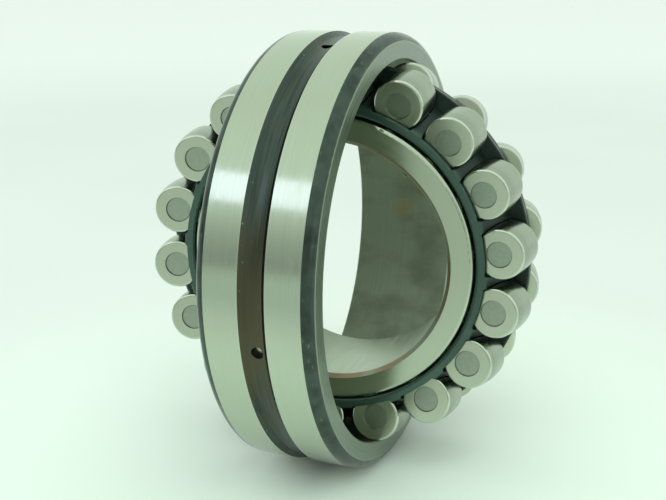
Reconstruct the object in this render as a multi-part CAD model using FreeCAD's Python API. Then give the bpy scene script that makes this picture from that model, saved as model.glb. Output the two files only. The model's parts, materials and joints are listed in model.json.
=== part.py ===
import FreeCAD, Part
import math
import os
from FreeCAD import Vector

# Spherical roller bearing: flangeless inner ring, two pressed window cages, loose guide ring.
# Millimetres, +Z up, origin at the centre of the outer ring's spherical raceway.
# The outer ring's axis lies along Y.  The inner assembly is built in line with it and then
# swivelled about Z into its rest position, standing almost square across the outer ring.

# Overall sizes
BORE_DIA = 65.0
OUTSIDE_DIA = 120.0
WIDTH = 31.0
REST_SWIVEL = -85.7             # degrees about Z, from the in-line position to rest

# Outer ring
OUTER_WALL = 5.0                # from the outside to the raceway, in the middle plane
OUTER_CORNER = 2.7              # turned corner between each side face and the ground outside
EDGE_BREAK = 0.3
GROOVE_WIDTH = 7.1              # lubrication groove round the middle of the outside
GROOVE_DEPTH = 1.9
HOLE_DIA = 3.2                  # lubrication holes from the groove floor to the raceway
HOLE_COUNT = 4
HOLE_START = 12.2               # degrees of the first hole, from +Z towards -X

# Rollers
ROLLER_COUNT = 18               # in each row
ROLLER_DIA = 14.0
ROLLER_END_DROP = 0.93          # the flat end's radius is this much less than the middle's
ROLLER_ROUNDING = 0.6           # length of the rounding at each end
RECESS_DIA = 7.0                # shallow recess in each end
RECESS_DEPTH = 0.4
PLAY = 0.03                     # from a centred roller to each raceway
END_INSET = 0.1                 # from a side face of the rings to the rollers' ends
MIDDLE_GAP = 1.75               # from the middle plane to the rollers' inboard ends
FRONT_START = 6.3               # degrees of the first front roller, from +X towards +Z
REAR_START = 9.5

# Inner ring
BORE_CHAMFER = 1.1
INNER_CORNER_HEIGHT = 1.0       # rounding between each side face and the raceway
INNER_CORNER_LENGTH = 0.8
LAND_CUT = 0.54                 # how far the middle land lies below the raceways' meeting point

# Guide ring, between the rows
GUIDE_PLAY = 0.05               # radial, on the inner ring's land
GUIDE_END_PLAY = 0.2            # to the rollers' inboard ends
GUIDE_CAGE_GAP = 1.0            # to the inside of the cages

# Cages
SHEET = 1.1
CAGE_GAP = 0.7                  # between the two cages' flanges
FLANGE_INSET = 2.8              # from the outer ring's raceway to the flange's edge
CONE_RISE = 1.0                 # the cone's top above the rollers' pitch circle
RIM_GAP = 0.5                   # from the inner ring to the rim
RIM_HEIGHT = 2.4
RIM_CLEARANCE = 0.25            # from the rollers' outboard ends to the rim
RIM_ROUNDING = 0.4
RIM_EDGE_ROUNDING = 0.9         # the rim's free edge, next to the inner ring
BEND = 0.7                      # outside of the bend between the cone and the rim
POCKET_PLAY = 0.3               # round the roller, in its window
POCKET_END_PLAY = 0.25          # at the roller's inboard end

# Worked out from the sizes above
HALF = WIDTH / 2.0
BORE_R = BORE_DIA / 2.0
OUTSIDE_R = OUTSIDE_DIA / 2.0
SPHERE_R = OUTSIDE_R - OUTER_WALL
ROLLER_R = ROLLER_DIA / 2.0
ROLLER_END_R = ROLLER_R - ROLLER_END_DROP
ROLLER_PROFILE_R = 0.982 * SPHERE_R             # a little tighter than the raceway
ROLLER_REACH = SPHERE_R - PLAY - ROLLER_R       # sphere centre to roller centre
ROLLER_OFFSET = (HALF - END_INSET + MIDDLE_GAP) / 2.0
TILT = math.asin(ROLLER_OFFSET / ROLLER_REACH)  # contact angle, and the rollers' lean
ROLLER_PITCH_R = ROLLER_REACH * math.cos(TILT)
ROLLER_HALF = (HALF - END_INSET - ROLLER_OFFSET
               - ROLLER_END_R * math.sin(TILT)) / math.cos(TILT)
PITCH_ANGLE = 360.0 / ROLLER_COUNT

# Inner raceways: concave arcs of the outer raceway's radius, facing it across the rollers
RACEWAY_REACH = ROLLER_REACH - ROLLER_R - PLAY + SPHERE_R
RACEWAY_CENTRE_R = RACEWAY_REACH * math.cos(TILT)
RACEWAY_CENTRE = RACEWAY_REACH * math.sin(TILT)

Y_AXIS = Vector(0, 1, 0)
Z_AXIS = Vector(0, 0, 1)
ORIGIN = Vector(0, 0, 0)


def inner_raceway_r(axial):
    """Radius of the inner ring's raceway at a distance from the middle plane."""
    return RACEWAY_CENTRE_R - math.sqrt(SPHERE_R ** 2 - (RACEWAY_CENTRE - axial) ** 2)


def roller_end(radius, side):
    """Distance from the middle plane to a roller's end face; side +1 outboard, -1 inboard."""
    end_r = ROLLER_PITCH_R - side * ROLLER_HALF * math.sin(TILT)
    end = ROLLER_OFFSET + side * ROLLER_HALF * math.cos(TILT)
    return end + (radius - end_r) * math.tan(TILT)


INNER_EDGE = HALF - INNER_CORNER_LENGTH
INNER_EDGE_R = inner_raceway_r(INNER_EDGE)
LAND_R = inner_raceway_r(0) - LAND_CUT

# The cage's section: flange, cone and rim, as distances from the middle plane and radii
FLANGE_R = SPHERE_R - FLANGE_INSET
FLANGE_BACK = CAGE_GAP / 2.0
FLANGE_FACE = FLANGE_BACK + SHEET
CONE_TOP_R = ROLLER_PITCH_R + CONE_RISE
RIM_INNER_R = INNER_EDGE_R + RIM_GAP
RIM_OUTER_R = RIM_INNER_R + RIM_HEIGHT
RIM_BACK = roller_end(RIM_OUTER_R, 1) + RIM_CLEARANCE
RIM_FACE = RIM_BACK + SHEET
CONE_FOOT_R = RIM_OUTER_R + BEND
CONE_FOOT = RIM_FACE - BEND
CONE_SLOPE = (CONE_TOP_R - CONE_FOOT_R) / (CONE_FOOT - FLANGE_FACE)


def cone_inside_r(axial):
    """Radius of the inside of the cage's cone."""
    outside = CONE_TOP_R - CONE_SLOPE * (axial - FLANGE_FACE)
    return outside - SHEET * math.sqrt(1.0 + CONE_SLOPE ** 2)


def at(radius, axial):
    """A point of a half section: distance from the Y axis, and distance along it."""
    return Vector(radius, axial, 0)


def line(start, end):
    return Part.LineSegment(start, end).toShape()


def arc(start, end, bulge):
    """Arc that leaves its chord by bulge times half of it, to the right when positive."""
    chord = end - start
    side = Vector(chord.y, -chord.x, 0)
    middle = (start + end) * 0.5 + side * (bulge * 0.5)
    return Part.Arc(start, middle, end).toShape()


def circle_arc(start, end, centre, radius):
    """The shorter arc of a known circle between two of its points."""
    toward = (start + end) * 0.5 - centre
    middle = centre + toward * (radius / toward.Length)
    return Part.Arc(start, middle, end).toShape()


def revolved(edges):
    section = Part.Face(Part.Wire(edges))
    return section.revolve(ORIGIN, Y_AXIS, 360)


def polygon(points):
    return [line(a, b) for a, b in zip(points, points[1:] + points[:1])]


def outer_ring():
    edge = HALF - EDGE_BREAK
    edge_r = math.sqrt(SPHERE_R ** 2 - edge ** 2)
    face_in = edge_r + EDGE_BREAK
    face_out = OUTSIDE_R - OUTER_CORNER
    land = HALF - OUTER_CORNER
    lip = GROOVE_WIDTH / 2.0
    foot = 0.62 * lip
    foot_r = OUTSIDE_R - 0.75 * GROOVE_DEPTH
    floor_r = OUTSIDE_R - GROOVE_DEPTH
    ring = revolved([
        circle_arc(at(edge_r, -edge), at(SPHERE_R, 0), ORIGIN, SPHERE_R),
        circle_arc(at(SPHERE_R, 0), at(edge_r, edge), ORIGIN, SPHERE_R),
        line(at(edge_r, edge), at(face_in, HALF)),
        line(at(face_in, HALF), at(face_out, HALF)),
        arc(at(face_out, HALF), at(OUTSIDE_R, land), -0.36),
        line(at(OUTSIDE_R, land), at(OUTSIDE_R, lip)),
        line(at(OUTSIDE_R, lip), at(foot_r, foot)),
        Part.Arc(at(foot_r, foot), at(floor_r, 0), at(foot_r, -foot)).toShape(),
        line(at(foot_r, -foot), at(OUTSIDE_R, -lip)),
        line(at(OUTSIDE_R, -lip), at(OUTSIDE_R, -land)),
        arc(at(OUTSIDE_R, -land), at(face_out, -HALF), -0.36),
        line(at(face_out, -HALF), at(face_in, -HALF)),
        line(at(face_in, -HALF), at(edge_r, -edge)),
    ])
    holes = []
    for i in range(HOLE_COUNT):
        turn = math.radians(HOLE_START + i * 360.0 / HOLE_COUNT)
        outward = Vector(-math.sin(turn), 0, math.cos(turn))
        start = outward * (SPHERE_R - HOLE_DIA)
        holes.append(Part.makeCylinder(HOLE_DIA / 2.0, OUTER_WALL + 2 * HOLE_DIA, start, outward))
    return ring.cut(holes)


def inner_ring():
    land = RACEWAY_CENTRE - math.sqrt(SPHERE_R ** 2 - (RACEWAY_CENTRE_R - LAND_R) ** 2)
    face_r = INNER_EDGE_R - INNER_CORNER_HEIGHT
    chamfer = BORE_R + BORE_CHAMFER
    shoulder = HALF - BORE_CHAMFER
    front = at(RACEWAY_CENTRE_R, -RACEWAY_CENTRE)
    rear = at(RACEWAY_CENTRE_R, RACEWAY_CENTRE)
    return revolved([
        line(at(BORE_R, -shoulder), at(BORE_R, shoulder)),
        line(at(BORE_R, shoulder), at(chamfer, HALF)),
        line(at(chamfer, HALF), at(face_r, HALF)),
        arc(at(face_r, HALF), at(INNER_EDGE_R, INNER_EDGE), -0.3),
        circle_arc(at(INNER_EDGE_R, INNER_EDGE), at(LAND_R, land), rear, SPHERE_R),
        line(at(LAND_R, land), at(LAND_R, -land)),
        circle_arc(at(LAND_R, -land), at(INNER_EDGE_R, -INNER_EDGE), front, SPHERE_R),
        arc(at(INNER_EDGE_R, -INNER_EDGE), at(face_r, -HALF), -0.3),
        line(at(face_r, -HALF), at(chamfer, -HALF)),
        line(at(chamfer, -HALF), at(BORE_R, -shoulder)),
    ])


def guide_ring():
    """Its sides lean with the rollers' inboard ends."""
    def half_width(radius):
        return roller_end(radius, -1) - GUIDE_END_PLAY

    low = LAND_R + GUIDE_PLAY
    high = cone_inside_r(MIDDLE_GAP) - GUIDE_CAGE_GAP
    shoulder = high - EDGE_BREAK
    top = half_width(high) - EDGE_BREAK
    return revolved(polygon([
        at(low, -half_width(low)),
        at(low, half_width(low)),
        at(shoulder, half_width(shoulder)),
        at(high, top),
        at(high, -top),
        at(shoulder, -half_width(shoulder)),
    ]))


def barrel_skin(play):
    """Centre and radius of the roller's profile arc, let out by play."""
    radius = ROLLER_PROFILE_R + play
    return at(ROLLER_R + play - radius, 0), radius


def roller():
    """A barrel about Y, with a rounding and a shallow recess at each end."""
    centre, radius = barrel_skin(0)
    shoulder = ROLLER_HALF - ROLLER_ROUNDING
    shoulder_r = centre.x + math.sqrt(radius ** 2 - shoulder ** 2)
    low = at(shoulder_r, -shoulder)
    high = at(shoulder_r, shoulder)
    end_low = at(ROLLER_END_R, -ROLLER_HALF)
    end_high = at(ROLLER_END_R, ROLLER_HALF)
    axis_low = at(0, -ROLLER_HALF)
    axis_high = at(0, ROLLER_HALF)
    body = revolved([
        circle_arc(low, high, centre, radius),
        arc(high, end_high, 0.4),
        line(end_high, axis_high),
        line(axis_high, axis_low),
        line(axis_low, end_low),
        arc(end_low, low, 0.4),
    ])
    recess_r = RECESS_DIA / 2.0
    recesses = [Part.makeCone(recess_r - RECESS_DEPTH / 2.0, recess_r, RECESS_DEPTH,
                              at(0, side * (ROLLER_HALF - RECESS_DEPTH)), Y_AXIS * side)
                for side in (-1, 1)]
    return body.cut(recesses)


def pocket():
    """What a window takes out of the cage: the roller with play, run on through the rim's bend."""
    centre, radius = barrel_skin(POCKET_PLAY)
    low = -ROLLER_HALF - 2.0 * RIM_CLEARANCE - SHEET - BEND
    high = ROLLER_HALF + POCKET_END_PLAY
    low_point = at(centre.x + math.sqrt(radius ** 2 - low ** 2), low)
    high_point = at(centre.x + math.sqrt(radius ** 2 - high ** 2), high)
    return revolved([
        circle_arc(low_point, high_point, centre, radius),
        line(high_point, at(0, high)),
        line(at(0, high), at(0, low)),
        line(at(0, low), low_point),
    ])


def placed_in_row(shape, row, clock):
    """Take a shape made about Y, inboard end at +Y, to its place in a row at a clock angle.

    The row is -1 for the front and +1 for the rear."""
    item = shape.copy()
    if row > 0:
        item.rotate(ORIGIN, Z_AXIS, 180)
    item.rotate(ORIGIN, Z_AXIS, row * math.degrees(TILT))
    item.translate(at(ROLLER_PITCH_R, row * ROLLER_OFFSET))
    item.rotate(ORIGIN, Y_AXIS, -clock)
    return item


def cage(row, start):
    """One pressing: inboard flange, cone with the windows, and the rim turned inwards."""
    def p(radius, axial):
        return at(radius, row * axial)

    # The cone runs a little way into the rim, which is joined on after the windows are cut
    root_r = RIM_OUTER_R - 2.0 * RIM_ROUNDING
    body = revolved([
        line(p(cone_inside_r(FLANGE_BACK), FLANGE_BACK), p(FLANGE_R, FLANGE_BACK)),
        line(p(FLANGE_R, FLANGE_BACK), p(FLANGE_R, FLANGE_FACE)),
        line(p(FLANGE_R, FLANGE_FACE), p(CONE_TOP_R, FLANGE_FACE)),
        line(p(CONE_TOP_R, FLANGE_FACE), p(CONE_FOOT_R, CONE_FOOT)),
        arc(p(CONE_FOOT_R, CONE_FOOT), p(RIM_OUTER_R, RIM_FACE), row * 0.36),
        line(p(RIM_OUTER_R, RIM_FACE), p(root_r, RIM_FACE)),
        line(p(root_r, RIM_FACE), p(root_r, RIM_BACK)),
        line(p(root_r, RIM_BACK), p(cone_inside_r(RIM_BACK), RIM_BACK)),
        line(p(cone_inside_r(RIM_BACK), RIM_BACK), p(cone_inside_r(FLANGE_BACK), FLANGE_BACK)),
    ])
    # Every window is cut in the same place, and the pressing is turned on by one pitch after it
    window = placed_in_row(pocket(), row, PITCH_ANGLE)
    solid_volume = body.Volume
    for i in range(ROLLER_COUNT):
        body = body.cut(window)
        if i == 0:
            window_volume = solid_volume - body.Volume
        body.rotate(ORIGIN, Y_AXIS, -PITCH_ANGLE)
    if abs(solid_volume - ROLLER_COUNT * window_volume - body.Volume) > 0.05 * window_volume:
        raise ValueError("the cage's windows didn't all come out alike")
    rounding = RIM_FACE - RIM_ROUNDING
    edge = RIM_FACE - RIM_EDGE_ROUNDING
    edge_r = RIM_INNER_R + RIM_EDGE_ROUNDING
    rim = revolved([
        line(p(RIM_INNER_R, RIM_BACK), p(RIM_OUTER_R, RIM_BACK)),
        line(p(RIM_OUTER_R, RIM_BACK), p(RIM_OUTER_R, rounding)),
        arc(p(RIM_OUTER_R, rounding), p(RIM_OUTER_R - RIM_ROUNDING, RIM_FACE), row * 0.4),
        line(p(RIM_OUTER_R - RIM_ROUNDING, RIM_FACE), p(edge_r, RIM_FACE)),
        arc(p(edge_r, RIM_FACE), p(RIM_INNER_R, edge), row * 0.4),
        line(p(RIM_INNER_R, edge), p(RIM_INNER_R, RIM_BACK)),
    ])
    whole = body.fuse(rim).removeSplitter()
    whole.rotate(ORIGIN, Y_AXIS, -start)
    return whole


def save(name, shape, swivel):
    """Write one piece, which must be a single valid solid."""
    item = shape.copy()
    item.rotate(ORIGIN, Z_AXIS, swivel)
    solids = item.Solids
    if len(solids) != 1 or not solids[0].isValid():
        raise ValueError("%s came out as %d solids" % (name, len(solids)))
    solids[0].exportStep(os.path.join("parts", name + ".step"))
    print(name, round(solids[0].Volume, 1))


os.makedirs("parts", exist_ok=True)
save("outer_ring", outer_ring(), 0)
save("inner_ring", inner_ring(), REST_SWIVEL)
save("guide_ring", guide_ring(), REST_SWIVEL)
one_roller = roller()
for row_name, row, start in (("front", -1, FRONT_START), ("rear", 1, REAR_START)):
    save("cage_" + row_name, cage(row, start), REST_SWIVEL)
    for i in range(ROLLER_COUNT):
        placed = placed_in_row(one_roller, row, start + i * PITCH_ANGLE)
        save("roller_%s_%02d" % (row_name, i + 1), placed, REST_SWIVEL)
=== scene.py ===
import json
import math

import bpy
from mathutils import Matrix, Vector


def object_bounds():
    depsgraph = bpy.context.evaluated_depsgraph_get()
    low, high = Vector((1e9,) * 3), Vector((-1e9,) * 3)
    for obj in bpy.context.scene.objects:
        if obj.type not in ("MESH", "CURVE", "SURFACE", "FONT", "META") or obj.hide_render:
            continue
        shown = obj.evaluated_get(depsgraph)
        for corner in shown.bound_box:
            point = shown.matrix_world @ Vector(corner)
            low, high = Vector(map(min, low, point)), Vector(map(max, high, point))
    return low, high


# Looks of a spherical roller bearing with its inner assembly swivelled across the outer ring.
# Metres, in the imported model's own frame.  Materials are worked out in millimetres, from each
# piece's own axis, so that grinding lines and worn edges follow the way it was made.

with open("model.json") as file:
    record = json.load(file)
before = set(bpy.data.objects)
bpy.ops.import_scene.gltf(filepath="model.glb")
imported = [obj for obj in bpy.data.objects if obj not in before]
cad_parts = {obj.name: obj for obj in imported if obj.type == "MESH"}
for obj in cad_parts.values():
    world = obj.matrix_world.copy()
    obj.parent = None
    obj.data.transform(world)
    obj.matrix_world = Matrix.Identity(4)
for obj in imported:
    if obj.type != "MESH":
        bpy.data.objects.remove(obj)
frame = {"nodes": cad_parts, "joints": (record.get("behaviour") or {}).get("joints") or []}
cad_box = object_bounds()

MM = 1000.0
ORIGIN = Vector((0, 0, 0))
joints = {j["name"]: j for j in frame["joints"]}
OUTER_AXIS = Vector((0, 1, 0))
INNER_AXIS = Vector(joints["shaft_spin"]["axis"]).normalized()


def edges(node, axis, centre=ORIGIN):
    """A node's extent along an axis, then its smallest and largest radius, in millimetres."""
    points = [v.co - centre for v in frame["nodes"][node].data.vertices]
    along = [p.dot(axis) for p in points]
    across = [(p - axis * p.dot(axis)).length for p in points]
    return min(along) * MM, max(along) * MM, min(across) * MM, max(across) * MM


# Places of the sockets that the Mix node keeps for each kind of data
MIX_FACTOR = 0
MIX_FLOAT_A, MIX_FLOAT_B = 2, 3
MIX_COLOUR_A, MIX_COLOUR_B, MIX_COLOUR = 6, 7, 2


class Shade:
    """One node material, built from a piece's distance along its axis and radius about it."""

    def __init__(self, name, axis, centre=ORIGIN, seed=0.0):
        self.material = bpy.data.materials.new(name)
        self.material.use_nodes = True
        self.tree = self.material.node_tree
        self.tree.nodes.clear()
        self.axis = tuple(axis)
        self.seed = seed
        place = self.add("ShaderNodeTexCoord").outputs["Object"]
        self.point = self.vector("SCALE", self.vector("SUBTRACT", place, tuple(centre)), MM)
        self.along = self.vector("DOT_PRODUCT", self.point, self.axis, out="Value")
        spoke = self.vector("SUBTRACT", self.point, self.spaced(self.axis, self.along))
        self.spoke = spoke
        self.radius = self.vector("LENGTH", spoke, out="Value")
        self.out = self.math("ABSOLUTE", self.along)
        self.colour = None
        self.rough = None
        self.height = None

    def add(self, kind, **settings):
        node = self.tree.nodes.new(kind)
        for key, value in settings.items():
            setattr(node, key, value)
        return node

    def feed(self, socket, value):
        if isinstance(value, bpy.types.NodeSocket):
            self.tree.links.new(value, socket)
        elif isinstance(value, (tuple, list)) and len(value) == 3 and socket.type == "RGBA":
            socket.default_value = (*value, 1.0)
        else:
            socket.default_value = value

    def math(self, operation, a, b=None, c=None, clamp=False):
        node = self.add("ShaderNodeMath", operation=operation, use_clamp=clamp)
        for socket, value in zip(node.inputs, (a, b, c)):
            if value is not None:
                self.feed(socket, value)
        return node.outputs[0]

    def vector(self, operation, a, b=None, out="Vector"):
        node = self.add("ShaderNodeVectorMath", operation=operation)
        self.feed(node.inputs[0], a)
        if b is not None:
            self.feed(node.inputs["Scale"] if operation == "SCALE" else node.inputs[1], b)
        return node.outputs[out]

    def spaced(self, direction, factor):
        """A fixed direction times a number worked out in the material."""
        return self.vector("SCALE", direction, factor)

    def rise(self, value, start, end, low=0.0, high=1.0):
        """Smooth step of a value, from low at start to high at end."""
        node = self.add("ShaderNodeMapRange", interpolation_type="SMOOTHSTEP")
        for key, number in (("Value", value), ("From Min", start), ("From Max", end),
                            ("To Min", low), ("To Max", high)):
            self.feed(node.inputs[key], number)
        return node.outputs[0]

    def band(self, value, low, high, soft):
        """1 between two limits of a value and 0 outside, with soft edges."""
        return self.math("MULTIPLY", self.rise(value, low - soft, low + soft),
                         self.rise(value, high - soft, high + soft, 1.0, 0.0))

    def both(self, a, b):
        """1 where two masks both are."""
        return self.math("MULTIPLY", a, b)

    def noise(self, place, scale, detail=2.0, roughness=0.5, offset=0.0):
        node = self.add("ShaderNodeTexNoise", noise_dimensions="4D")
        self.feed(node.inputs["Vector"], place)
        self.feed(node.inputs["W"], self.seed + offset)
        self.feed(node.inputs["Scale"], scale)
        self.feed(node.inputs["Detail"], detail)
        self.feed(node.inputs["Roughness"], roughness)
        return node.outputs[0]

    def cloud(self, scale, detail=3.0, offset=0.0):
        """Patches with no direction; scale is in patches to the millimetre."""
        return self.noise(self.point, scale, detail, 0.55, offset)

    def lathe(self, around, along, detail=2.0, offset=0.0):
        """Lines round the axis: fine along it, long around it."""
        run = self.vector("SCALE", self.spoke, around)
        step = self.spaced(self.axis, self.math("MULTIPLY", self.along, along))
        return self.noise(self.vector("ADD", run, step), 1.0, detail, 0.6, offset)

    def rings(self, fine, drift, offset=0.0):
        """Concentric lines on an end face, slightly broken up."""
        wander = self.math("MULTIPLY", self.cloud(0.12, 1.0, offset + 5.0), drift)
        reach = self.math("MULTIPLY", self.math("ADD", self.radius, wander), fine)
        return self.noise(self.spaced((1.0, 0.37, 0.61), reach), 1.0, 2.0, 0.6, offset)

    def mix(self, factor, a, b):
        node = self.add("ShaderNodeMix", data_type="RGBA", clamp_factor=True)
        self.feed(node.inputs[MIX_FACTOR], factor)
        self.feed(node.inputs[MIX_COLOUR_A], a)
        self.feed(node.inputs[MIX_COLOUR_B], b)
        return node.outputs[MIX_COLOUR]

    def shift(self, factor, a, b):
        """Plain number between two others."""
        node = self.add("ShaderNodeMix", data_type="FLOAT", clamp_factor=True)
        self.feed(node.inputs[MIX_FACTOR], factor)
        self.feed(node.inputs[MIX_FLOAT_A], a)
        self.feed(node.inputs[MIX_FLOAT_B], b)
        return node.outputs[0]

    def tone(self, value, low, high, dark, light):
        """Colour that goes from dark to light as a noise goes from low to high."""
        return self.mix(self.rise(value, low, high), dark, light)

    def paint(self, mask, colour=None, rough=None):
        """Lay another finish over the ones so far, where the mask is 1."""
        if colour is not None:
            self.colour = self.mix(mask, self.colour, colour)
        if rough is not None:
            self.rough = self.shift(mask, self.rough, rough)

    def relief(self, height, amount):
        part = self.math("MULTIPLY", height, amount)
        self.height = part if self.height is None else self.math("ADD", self.height, part)

    def finish(self, metallic, depth_mm, specular=0.5):
        """Join the colour, roughness and bump into the material."""
        shader = self.add("ShaderNodeBsdfPrincipled")
        self.feed(shader.inputs["Base Color"], self.colour)
        self.feed(shader.inputs["Roughness"], self.rough)
        self.feed(shader.inputs["Metallic"], metallic)
        self.feed(shader.inputs["Specular IOR Level"], specular)
        bump = self.add("ShaderNodeBump")
        self.feed(bump.inputs["Strength"], 1.0)
        self.feed(bump.inputs["Distance"], depth_mm / MM)
        self.feed(bump.inputs["Height"], self.height)
        self.feed(shader.inputs["Normal"], bump.outputs[0])
        output = self.add("ShaderNodeOutputMaterial")
        self.feed(output.inputs["Surface"], shader.outputs[0])
        return self.material


# Colours, as linear red, green and blue, shared by several pieces
STEEL = (0.475, 0.53, 0.425)
STEEL_LIGHT = (0.52, 0.575, 0.47)
STEEL_WARM = (0.46, 0.475, 0.33)
OXIDE = (0.078, 0.102, 0.088)
OXIDE_DARK = (0.045, 0.058, 0.051)
OXIDE_BROWN = (0.098, 0.084, 0.052)
SIDE_GREY = (0.24, 0.285, 0.235)
STAIN = (0.36, 0.25, 0.1)
# The outer ring's raceway, side faces, corners, groove and holes
RACEWAY = (0.285, 0.325, 0.245)
RACEWAY_LIGHT = (0.32, 0.365, 0.28)
RACEWAY_FILM = (0.22, 0.25, 0.185)
SIDE_LIGHT = (0.265, 0.31, 0.255)
OXIDE_RUBBED = (0.2, 0.26, 0.23)
NICK = (0.5, 0.56, 0.5)
LIP = (0.6, 0.66, 0.56)
# Painted shade inside the lubrication holes
HOLE_PAINTED_SHADE = (0.02, 0.022, 0.02)
# The inner ring's bore, side faces and chamfers
BORE = (0.42, 0.47, 0.38)
BORE_LIGHT = (0.48, 0.535, 0.43)
BORE_DULL = (0.37, 0.41, 0.33)
FACE = (0.45, 0.495, 0.385)
FACE_LIGHT = (0.49, 0.54, 0.43)
CHAMFER_GREY = (0.28, 0.3, 0.24)
CHAMFER_STAIN = (0.25, 0.18, 0.11)
# The guide ring
GUIDE = (0.17, 0.2, 0.17)
GUIDE_LIGHT = (0.27, 0.31, 0.26)
# The cages' sheet, rims, bars and flanges
CAGE = (0.038, 0.066, 0.056)
CAGE_LIGHT = (0.062, 0.102, 0.086)
CAGE_GREY = (0.075, 0.12, 0.1)
RIM = (0.062, 0.108, 0.088)
RIM_LIGHT = (0.095, 0.155, 0.128)
SCUFF = (0.3, 0.35, 0.31)
# Painted shade for the cage bars and flange between the rollers
BAR_PAINTED_SHADE = (0.018, 0.026, 0.024)
FLANGE_EDGE = (0.17, 0.2, 0.18)
# The rollers' barrels, ends and recesses
BARREL = (0.31, 0.35, 0.275)
BARREL_LIGHT = (0.37, 0.41, 0.33)
BARREL_WARM = (0.33, 0.345, 0.25)
WORN_TRACK = (0.38, 0.42, 0.35)
END = (0.49, 0.53, 0.42)
END_LIGHT = (0.54, 0.58, 0.47)
TUMBLED = (0.6, 0.65, 0.56)
RECESS = (0.32, 0.365, 0.295)
RECESS_LIGHT = (0.37, 0.415, 0.34)
RECESS_SHADOW = (0.1, 0.12, 0.095)

# Sizes of the pieces, in millimetres
OUTER_WALL = 5.0            # from the outside to the raceway
OUTER_CORNER = 2.7
GROOVE_HALF = 3.55
GROOVE_DEPTH = 1.9
HOLE_R = 1.6
BORE_CHAMFER = 1.1
RIM_HEIGHT = 2.4            # the cages' rims
RIM_SHEET = 1.1
RECESS_R = 3.5              # in the rollers' ends
RECESS_DEPTH = 0.4
ROLLER_ROUNDING = 0.6
ROLLER_END_R = 6.07
RACEWAY_STAIN = (54.9, 1.7, -0.2)      # a spot of old grease on the raceway
FINE_RELIEF = 0.004         # full height of the bump on ground and turned steel
SHEET_RELIEF = 0.01
PAPER_RELIEF = 0.02


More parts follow.
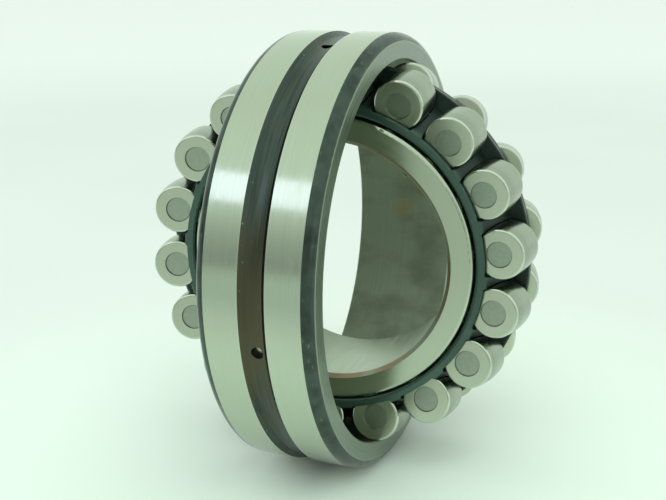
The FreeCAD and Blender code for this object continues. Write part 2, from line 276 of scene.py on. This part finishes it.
def outer_ring_material():
    _, half, _, outer_r = edges("outer_ring", OUTER_AXIS)
    wall_r = outer_r - OUTER_WALL
    s = Shade("outer_ring_finish", OUTER_AXIS)
    fine = s.lathe(0.02, 5.0, 3.0)
    broad = s.lathe(0.012, 0.9, 2.0, 3.0)
    patches = s.cloud(0.05, 3.0, 7.0)
    smudge = s.cloud(0.35, 4.0, 11.0)
    # Ground outside
    s.colour = s.mix(s.rise(fine, 0.35, 0.65, 0.0, 0.5), STEEL, STEEL_LIGHT)
    s.colour = s.mix(s.rise(patches, 0.4, 0.7, 0.0, 0.25), s.colour, STEEL_WARM)
    s.rough = s.rise(broad, 0.3, 0.7, 0.11, 0.17)
    s.rough = s.math("ADD", s.rough, s.rise(smudge, 0.5, 0.75, 0.0, 0.05))
    # Raceway inside, under a dull film, with one spot
    raceway = s.rise(s.radius, wall_r + 0.3, wall_r + 0.6, 1.0, 0.0)
    film = s.noise(s.vector("MULTIPLY", s.point, (0.06, 0.06, 0.1)), 1.0, 4.0, 0.55, 23.0)
    track = s.tone(s.lathe(0.05, 1.4, 2.0, 21.0), 0.2, 0.8, RACEWAY, RACEWAY_LIGHT)
    track = s.mix(s.rise(film, 0.38, 0.7, 0.0, 0.8), track, RACEWAY_FILM)
    spot = s.vector("LENGTH", s.vector("SUBTRACT", s.point, RACEWAY_STAIN), out="Value")
    track = s.mix(s.rise(s.math("ADD", spot, s.math("MULTIPLY", smudge, 5.0)), 3.0, 7.0, 0.5, 0.0),
                  track, STAIN)
    s.paint(raceway, track, s.rise(film, 0.35, 0.65, 0.5, 0.68))
    # Side faces
    sides = s.rise(s.out, half - 0.12, half - 0.05)
    turned = s.rings(2.6, 0.5, 31.0)
    face = s.mix(s.rise(turned, 0.3, 0.7), SIDE_GREY, SIDE_LIGHT)
    s.paint(sides, face, s.rise(turned, 0.3, 0.7, 0.27, 0.33))
    # Corners between the sides and the outside, still with their dark scale
    corner = s.both(s.rise(s.out, half - OUTER_CORNER - 0.08, half - OUTER_CORNER + 0.04),
                    s.both(s.rise(s.radius, outer_r - OUTER_CORNER - 0.2,
                                  outer_r - OUTER_CORNER - 0.05),
                           s.rise(s.out, half - 0.05, half - 0.12)))
    scale = s.tone(s.cloud(0.16, 4.0, 41.0), 0.35, 0.7, OXIDE, OXIDE_DARK)
    chatter = s.lathe(0.35, 0.8, 2.0, 43.0)
    scale = s.mix(s.rise(chatter, 0.6, 0.76, 0.0, 0.6), scale, OXIDE_RUBBED)
    s.paint(corner, scale, s.rise(chatter, 0.3, 0.7, 0.14, 0.26))
    # Groove
    groove = s.both(s.rise(s.out, GROOVE_HALF - 0.06, GROOVE_HALF + 0.02, 1.0, 0.0),
                    s.rise(s.radius, wall_r + 0.5, wall_r + 0.7))
    rust = s.rise(s.cloud(0.045, 3.0, 51.0), 0.52, 0.7, 0.0, 0.6)
    stained = s.rise(s.vector("DOT_PRODUCT", s.spoke, (-1.0, 0.0, -0.05), out="Value"),
                     0.86 * outer_r, 0.97 * outer_r, 0.0, 0.85)
    rust = s.math("MAXIMUM", rust, stained)
    lines = s.lathe(0.06, 1.6, 3.0, 53.0)
    floor = s.mix(rust, s.tone(lines, 0.3, 0.7, OXIDE_DARK, OXIDE), OXIDE_BROWN)
    nicks = s.both(s.rise(s.lathe(0.9, 0.9, 3.0, 57.0), 0.66, 0.72),
                   s.rise(s.out, GROOVE_HALF - 1.3, GROOVE_HALF - 0.2))
    floor = s.mix(nicks, floor, NICK)
    s.paint(groove, floor, s.rise(lines, 0.3, 0.7, 0.27, 0.36))
    # Bright line where the ground lands meet the groove
    lip = s.both(s.band(s.out, GROOVE_HALF - 0.02, GROOVE_HALF + 0.16, 0.05),
                 s.rise(s.radius, outer_r - 0.3, outer_r - 0.1))
    s.paint(s.math("MULTIPLY", lip, 0.5), LIP, 0.2)
    # Inside the lubrication holes: painted shade, the walls made near black
    floor_r = outer_r - GROOVE_DEPTH
    bores = s.both(s.rise(s.radius, wall_r + 0.4, wall_r + 0.6),
                   s.rise(s.radius, floor_r - 0.25, floor_r - 0.1, 1.0, 0.0))
    s.paint(s.both(bores, s.rise(s.out, HOLE_R + 0.1, HOLE_R + 0.2, 1.0, 0.0)), HOLE_PAINTED_SHADE, 0.5)
    s.relief(fine, 0.35)
    s.relief(s.both(s.math("MAXIMUM", groove, corner), chatter), 2.2)
    s.relief(s.both(sides, turned), 1.0)
    s.relief(smudge, 0.5)
    return s.finish(1.0, FINE_RELIEF)


def inner_ring_material():
    _, half, bore_r, _ = edges("inner_ring", INNER_AXIS)
    chamfer_r = bore_r + BORE_CHAMFER
    s = Shade("inner_ring_finish", INNER_AXIS)
    fine = s.lathe(0.03, 4.0, 3.0)
    patches = s.cloud(0.07, 4.0, 7.0)
    s.colour = s.tone(fine, 0.3, 0.7, STEEL, STEEL_LIGHT)
    s.rough = s.rise(s.cloud(0.3, 3.0, 9.0), 0.3, 0.7, 0.12, 0.2)
    # Bore: honed, with rubs along it from fitting
    bore = s.rise(s.radius, bore_r + 0.05, bore_r + 0.15, 1.0, 0.0)
    rubs_at = s.vector("ADD", s.vector("SCALE", s.spoke, 0.9),
                       s.spaced(s.axis, s.math("MULTIPLY", s.along, 0.06)))
    rubs = s.noise(rubs_at, 1.0, 4.0, 0.6, 15.0)
    bore_tone = s.tone(rubs, 0.3, 0.7, BORE, BORE_LIGHT)
    bore_tone = s.mix(s.rise(patches, 0.45, 0.7, 0.0, 0.5), bore_tone, BORE_DULL)
    spots = s.rise(s.cloud(0.11, 2.0, 17.0), 0.68, 0.78, 0.0, 0.55)
    bore_tone = s.mix(spots, bore_tone, STAIN)
    s.paint(bore, bore_tone, s.rise(rubs, 0.3, 0.7, 0.3, 0.42))
    # Ground side faces, a little dull near the bore's chamfer
    sides = s.both(s.rise(s.out, half - 0.1, half - 0.04),
                   s.rise(s.radius, chamfer_r - 0.2, chamfer_r + 0.1))
    turned = s.rings(3.2, 0.6, 31.0)
    s.paint(sides, s.tone(turned, 0.2, 0.8, FACE, FACE_LIGHT),
            s.rise(turned, 0.3, 0.7, 0.2, 0.26))
    chamfer = s.both(s.band(s.radius, bore_r + 0.1, chamfer_r, 0.05),
                     s.rise(s.out, half - BORE_CHAMFER - 0.1, half - BORE_CHAMFER + 0.1))
    edge_stain = s.rise(s.cloud(0.06, 3.0, 37.0), 0.42, 0.6)
    s.paint(chamfer, s.mix(edge_stain, CHAMFER_GREY, CHAMFER_STAIN), 0.3)
    s.relief(fine, 0.3)
    s.relief(s.both(bore, rubs), 1.4)
    s.relief(s.both(sides, turned), 0.25)
    return s.finish(1.0, FINE_RELIEF)


def guide_ring_material():
    s = Shade("guide_ring_finish", INNER_AXIS)
    fine = s.lathe(0.05, 3.0, 3.0)
    s.colour = s.tone(fine, 0.3, 0.7, GUIDE, GUIDE_LIGHT)
    s.colour = s.mix(s.rise(s.cloud(0.2, 3.0, 3.0), 0.5, 0.7, 0.0, 0.5), s.colour, OXIDE)
    s.rough = s.rise(s.cloud(0.4, 3.0, 9.0), 0.3, 0.7, 0.28, 0.4)
    s.relief(fine, 1.0)
    return s.finish(1.0, FINE_RELIEF)


def cage_material(node, seed):
    low, high, inner_r, outer_r = edges(node, INNER_AXIS)
    reach = max(abs(low), abs(high))
    s = Shade(node + "_finish", INNER_AXIS, seed=seed)
    grain = s.cloud(2.2, 4.0)
    patches = s.cloud(0.12, 3.0, 5.0)
    s.colour = s.tone(grain, 0.3, 0.7, CAGE, CAGE_LIGHT)
    s.colour = s.mix(s.rise(patches, 0.45, 0.7, 0.0, 0.5), s.colour, CAGE_GREY)
    s.rough = s.rise(patches, 0.3, 0.7, 0.3, 0.42)
    # Rim: drawn round and rubbed a little brighter
    rim = s.both(s.rise(s.out, reach - RIM_SHEET - 0.2, reach - RIM_SHEET + 0.2),
                 s.rise(s.radius, inner_r + RIM_HEIGHT + 0.8, inner_r + RIM_HEIGHT))
    drawn = s.lathe(0.05, 2.0, 3.0, 11.0)
    s.paint(s.math("MULTIPLY", rim, 0.6),
            s.tone(drawn, 0.3, 0.7, RIM, RIM_LIGHT), 0.32)
    scuffs = s.both(s.rise(s.lathe(0.5, 2.4, 4.0, 13.0), 0.66, 0.76, 0.0, 0.5),
                    s.rise(s.cloud(0.2, 2.0, 14.0), 0.45, 0.6))
    s.paint(scuffs, SCUFF, 0.3)
    # Between the windows: painted shade, the bars and the flange made darker where they lie in
    # shadow between the rollers
    bars = s.rise(s.radius, inner_r + RIM_HEIGHT + 0.4, inner_r + RIM_HEIGHT + 1.2)
    s.paint(s.math("MULTIPLY", bars, 0.75), BAR_PAINTED_SHADE, 0.36)
    # Flange's outer edge, bare where it runs near the raceway
    edge = s.rise(s.radius, outer_r - 0.5, outer_r - 0.25)
    s.paint(s.math("MULTIPLY", edge, 0.5), FLANGE_EDGE, 0.3)
    s.relief(grain, 1.0)
    s.relief(patches, 1.2)
    return s.finish(0.75, SHEET_RELIEF)


def roller_material(node, joint, seed):
    axis = Vector(joint["axis"]).normalized()
    centre = Vector(joint["pos_m"])
    _, half, _, _ = edges(node, axis, centre)
    s = Shade(node + "_finish", axis, centre, seed)
    fine = s.lathe(0.12, 5.0, 3.0)
    patches = s.cloud(0.22, 3.0, 5.0)
    s.colour = s.mix(s.rise(fine, 0.3, 0.7, 0.0, 0.6), BARREL, BARREL_LIGHT)
    s.colour = s.mix(s.rise(patches, 0.45, 0.75, 0.0, 0.3), s.colour, BARREL_WARM)
    s.rough = s.rise(fine, 0.3, 0.7, 0.22, 0.29)
    # Worn track round the middle of the barrel
    track = s.rise(s.out, 1.6, 2.6, 0.35, 0.0)
    s.paint(track, WORN_TRACK, 0.18)
    # Flat ends with turning marks
    turned = s.rings(3.0, 0.35, 21.0)
    ends = s.both(s.rise(s.out, half - 0.07, half - 0.03),
                  s.rise(s.radius, RECESS_R - 0.1, RECESS_R))
    s.paint(ends, s.tone(turned, 0.2, 0.8, END, END_LIGHT),
            s.rise(turned, 0.3, 0.7, 0.22, 0.27))
    # Rounding between the end and the barrel, tumbled bright
    rounding = s.both(s.band(s.out, half - ROLLER_ROUNDING - 0.02, half - 0.06, 0.05),
                      s.rise(s.radius, ROLLER_END_R - 0.47, ROLLER_END_R - 0.17))
    s.paint(rounding, TUMBLED, 0.14)
    # Recess, left as forged
    recess = s.both(s.rise(s.radius, RECESS_R + 0.02, RECESS_R - 0.08),
                    s.rise(s.out, half - 2 * RECESS_DEPTH, half - 1.5 * RECESS_DEPTH))
    forged = s.cloud(1.1, 4.0, 31.0)
    s.paint(recess, s.tone(forged, 0.2, 0.8, RECESS, RECESS_LIGHT), 0.3)
    shadow = s.both(s.band(s.radius, RECESS_R - 0.3, RECESS_R, 0.06),
                    s.rise(s.out, half - RECESS_DEPTH - 0.05, half - 0.02))
    s.paint(shadow, RECESS_SHADOW, 0.4)
    s.relief(fine, 0.25)
    s.relief(s.both(ends, turned), 0.3)
    s.relief(s.both(recess, forged), 1.5)
    return s.finish(1.0, FINE_RELIEF)


def dress(node, material):
    mesh = frame["nodes"][node].data
    mesh.materials.clear()
    mesh.materials.append(material)


dress("outer_ring", outer_ring_material())
dress("inner_ring", inner_ring_material())
dress("guide_ring", guide_ring_material())
dress("cage_front", cage_material("cage_front", 0.0))
dress("cage_rear", cage_material("cage_rear", 50.0))
SEED_STEP = 7.3             # apart in the noise, so that no two rollers look alike
rollers = sorted(n for n in frame["nodes"] if n.startswith("roller_"))
for index, node in enumerate(rollers):
    dress(node, roller_material(node, joints[node + "_spin"], index * SEED_STEP))


# Floor ----------------------------------------------------------------------------------------

TINT = (0.86, 1.0, 0.885)   # the room's greenish white
FLOOR_RADIUS = 9.0
TOWARDS_CAMERA = (-0.94, -0.34, 0.0)
PAPER = (0.81, 0.795, 0.81)
PAPER_LIGHT = (0.835, 0.82, 0.835)
# Painted light: the paper made lighter far off and round the bearing
PAPER_FAR_PAINTED_LIGHT = (0.95, 0.93, 0.95)
PAPER_NEAR_PAINTED_LIGHT = (0.90, 0.925, 0.90)
# Painted shadow on the paper between the bearing and the camera
PAPER_PAINTED_SHADOW = (0.52, 0.54, 0.52)


def paper_material():
    """Pale paper, with painted light far off and round the bearing, and a painted shadow between
    it and the camera.
    """
    s = Shade("floor_paper", (0, 0, 1))
    # Painted light round the bearing, lifting its shadow on the paper
    near_painted_light = s.rise(s.radius, 70.0, 200.0, 1.0, 0.0)
    s.colour = s.tone(s.cloud(0.004, 2.0), 0.3, 0.7, PAPER, PAPER_LIGHT)
    # Painted light: the paper made lighter far off
    s.colour = s.mix(s.rise(s.radius, 500.0, 1500.0), s.colour, PAPER_FAR_PAINTED_LIGHT)
    s.colour = s.mix(near_painted_light, s.colour, PAPER_NEAR_PAINTED_LIGHT)
    # Painted shadow on the paper between the bearing and the camera
    nearness = s.vector("DOT_PRODUCT", s.point, TOWARDS_CAMERA, out="Value")
    before = s.rise(nearness, 75.0, 230.0, 0.0, 0.8)
    s.colour = s.mix(before, s.colour, PAPER_PAINTED_SHADOW)
    s.rough = s.rise(s.cloud(0.02, 2.0, 3.0), 0.3, 0.7, 0.6, 0.7)
    s.relief(s.cloud(0.8, 3.0, 5.0), 0.2)
    return s.finish(0.0, PAPER_RELIEF, 0.2)


bpy.ops.mesh.primitive_circle_add(vertices=96, radius=FLOOR_RADIUS, fill_type="NGON",
                                  location=(0, 0, cad_box[0][2]))
floor = bpy.context.object
floor.name = "studio_floor"
floor.data.materials.append(paper_material())


# Light ----------------------------------------------------------------------------------------

KEY_COLOUR = (0.68, 0.68, 1.0)
FILL_COLOUR = (0.72, 1.0, 0.79)


def towards(azimuth, elevation):
    """Unit vector at two angles in degrees, the azimuth from +X towards +Y."""
    a, e = math.radians(azimuth), math.radians(elevation)
    return Vector((math.cos(a) * math.cos(e), math.sin(a) * math.cos(e), math.sin(e)))


def softbox(name, colour, azimuth, elevation, distance, width, height, radiance):
    """Rectangular light that faces the origin, unseen by the camera."""
    light = bpy.data.lights.new(name, "AREA")
    light.shape = "RECTANGLE"
    light.size = width
    light.size_y = height
    light.energy = radiance * math.pi * width * height
    light.color = colour
    lamp = bpy.data.objects.new(name, light)
    bpy.context.scene.collection.objects.link(lamp)
    direction = towards(azimuth, elevation)
    lamp.location = direction * distance
    lamp.rotation_euler = direction.to_track_quat("Z", "Y").to_euler()
    lamp.visible_camera = False
    return lamp


softbox("key_softbox", KEY_COLOUR, azimuth=147.0, elevation=35.0, distance=1.1,
        width=0.6, height=0.24, radiance=1.3)
fill = softbox("fill_softbox", FILL_COLOUR, azimuth=205.0, elevation=50.0, distance=1.3,
               width=1.2, height=0.9, radiance=1.45)
fill.visible_glossy = False

# Brightness of the studio, in steps from straight down (0) to straight up (1)
SKY = ((0.0, 0.47), (0.09, 0.47), (0.28, 0.65), (0.46, 0.95), (0.7, 1.07), (1.0, 1.07))
FRONT_AZIMUTH = 165.0       # the side that the steps are on, fading in over FRONT_SPREAD
FRONT_SPREAD = 0.6
BACK_BRIGHTNESS = 1.02
BACKDROP = (0.80, 0.93, 0.82, 1.0)     # what the camera sees behind the bearing


def studio_world():
    """Room to be reflected, bright above and dim below, behind a plain backdrop."""
    world = bpy.data.worlds.new("studio")
    world.use_nodes = True
    tree = world.node_tree
    tree.nodes.clear()

    def add(kind, **settings):
        node = tree.nodes.new(kind)
        for name, value in settings.items():
            setattr(node, name, value)
        return node

    coord = add("ShaderNodeTexCoord")
    parts = add("ShaderNodeSeparateXYZ")
    tree.links.new(coord.outputs["Generated"], parts.inputs[0])
    ramp = add("ShaderNodeValToRGB")
    ramp.color_ramp.elements[0].position = SKY[0][0]
    ramp.color_ramp.elements[1].position = SKY[-1][0]
    for place, _ in SKY[1:-1]:
        ramp.color_ramp.elements.new(place)
    for element, (_, value) in zip(ramp.color_ramp.elements, SKY):
        element.color = tuple(c * value for c in TINT) + (1.0,)
    tree.links.new(parts.outputs["Z"], ramp.inputs[0])
    facing = add("ShaderNodeVectorMath", operation="DOT_PRODUCT")
    tree.links.new(coord.outputs["Generated"], facing.inputs[0])
    facing.inputs[1].default_value = towards(FRONT_AZIMUTH, 0.0)
    front = add("ShaderNodeMapRange", interpolation_type="SMOOTHSTEP")
    tree.links.new(facing.outputs["Value"], front.inputs["Value"])
    front.inputs["From Min"].default_value = 0.0
    front.inputs["From Max"].default_value = FRONT_SPREAD
    blend = add("ShaderNodeMix", data_type="RGBA")
    tree.links.new(front.outputs[0], blend.inputs[MIX_FACTOR])
    blend.inputs[MIX_COLOUR_A].default_value = tuple(c * BACK_BRIGHTNESS for c in TINT) + (1.0,)
    tree.links.new(ramp.outputs[0], blend.inputs[MIX_COLOUR_B])
    studio_light = add("ShaderNodeBackground")
    tree.links.new(blend.outputs[MIX_COLOUR], studio_light.inputs[0])
    backdrop = add("ShaderNodeBackground")
    backdrop.inputs[0].default_value = BACKDROP
    seen = add("ShaderNodeLightPath")
    choice = add("ShaderNodeMixShader")
    tree.links.new(seen.outputs["Is Camera Ray"], choice.inputs[0])
    tree.links.new(studio_light.outputs[0], choice.inputs[1])
    tree.links.new(backdrop.outputs[0], choice.inputs[2])
    surface = add("ShaderNodeOutputWorld")
    tree.links.new(choice.outputs[0], surface.inputs[0])
    return world


bpy.context.scene.world = studio_world()


# Camera ---------------------------------------------------------------------------------------

LENS_MM = 58.16
EYE = Vector((-0.273479, -0.109813, 0.078367))
HEADING, PITCH, ROLL = 22.578, -15.0548, -0.2912      # degrees

camera_data = bpy.data.cameras.new("camera")
camera_data.lens = LENS_MM
camera_data.sensor_width = 36.0
camera_data.clip_start = 0.01
camera_data.clip_end = 50.0
camera = bpy.data.objects.new("camera", camera_data)
bpy.context.scene.collection.objects.link(camera)
level = towards(HEADING, PITCH).to_track_quat("-Z", "Y").to_matrix().to_4x4()
camera.matrix_world = Matrix.Translation(EYE) @ level @ Matrix.Rotation(math.radians(ROLL), 4, "Z")
bpy.context.scene.camera = camera

bpy.context.scene.view_settings.view_transform = "Standard"
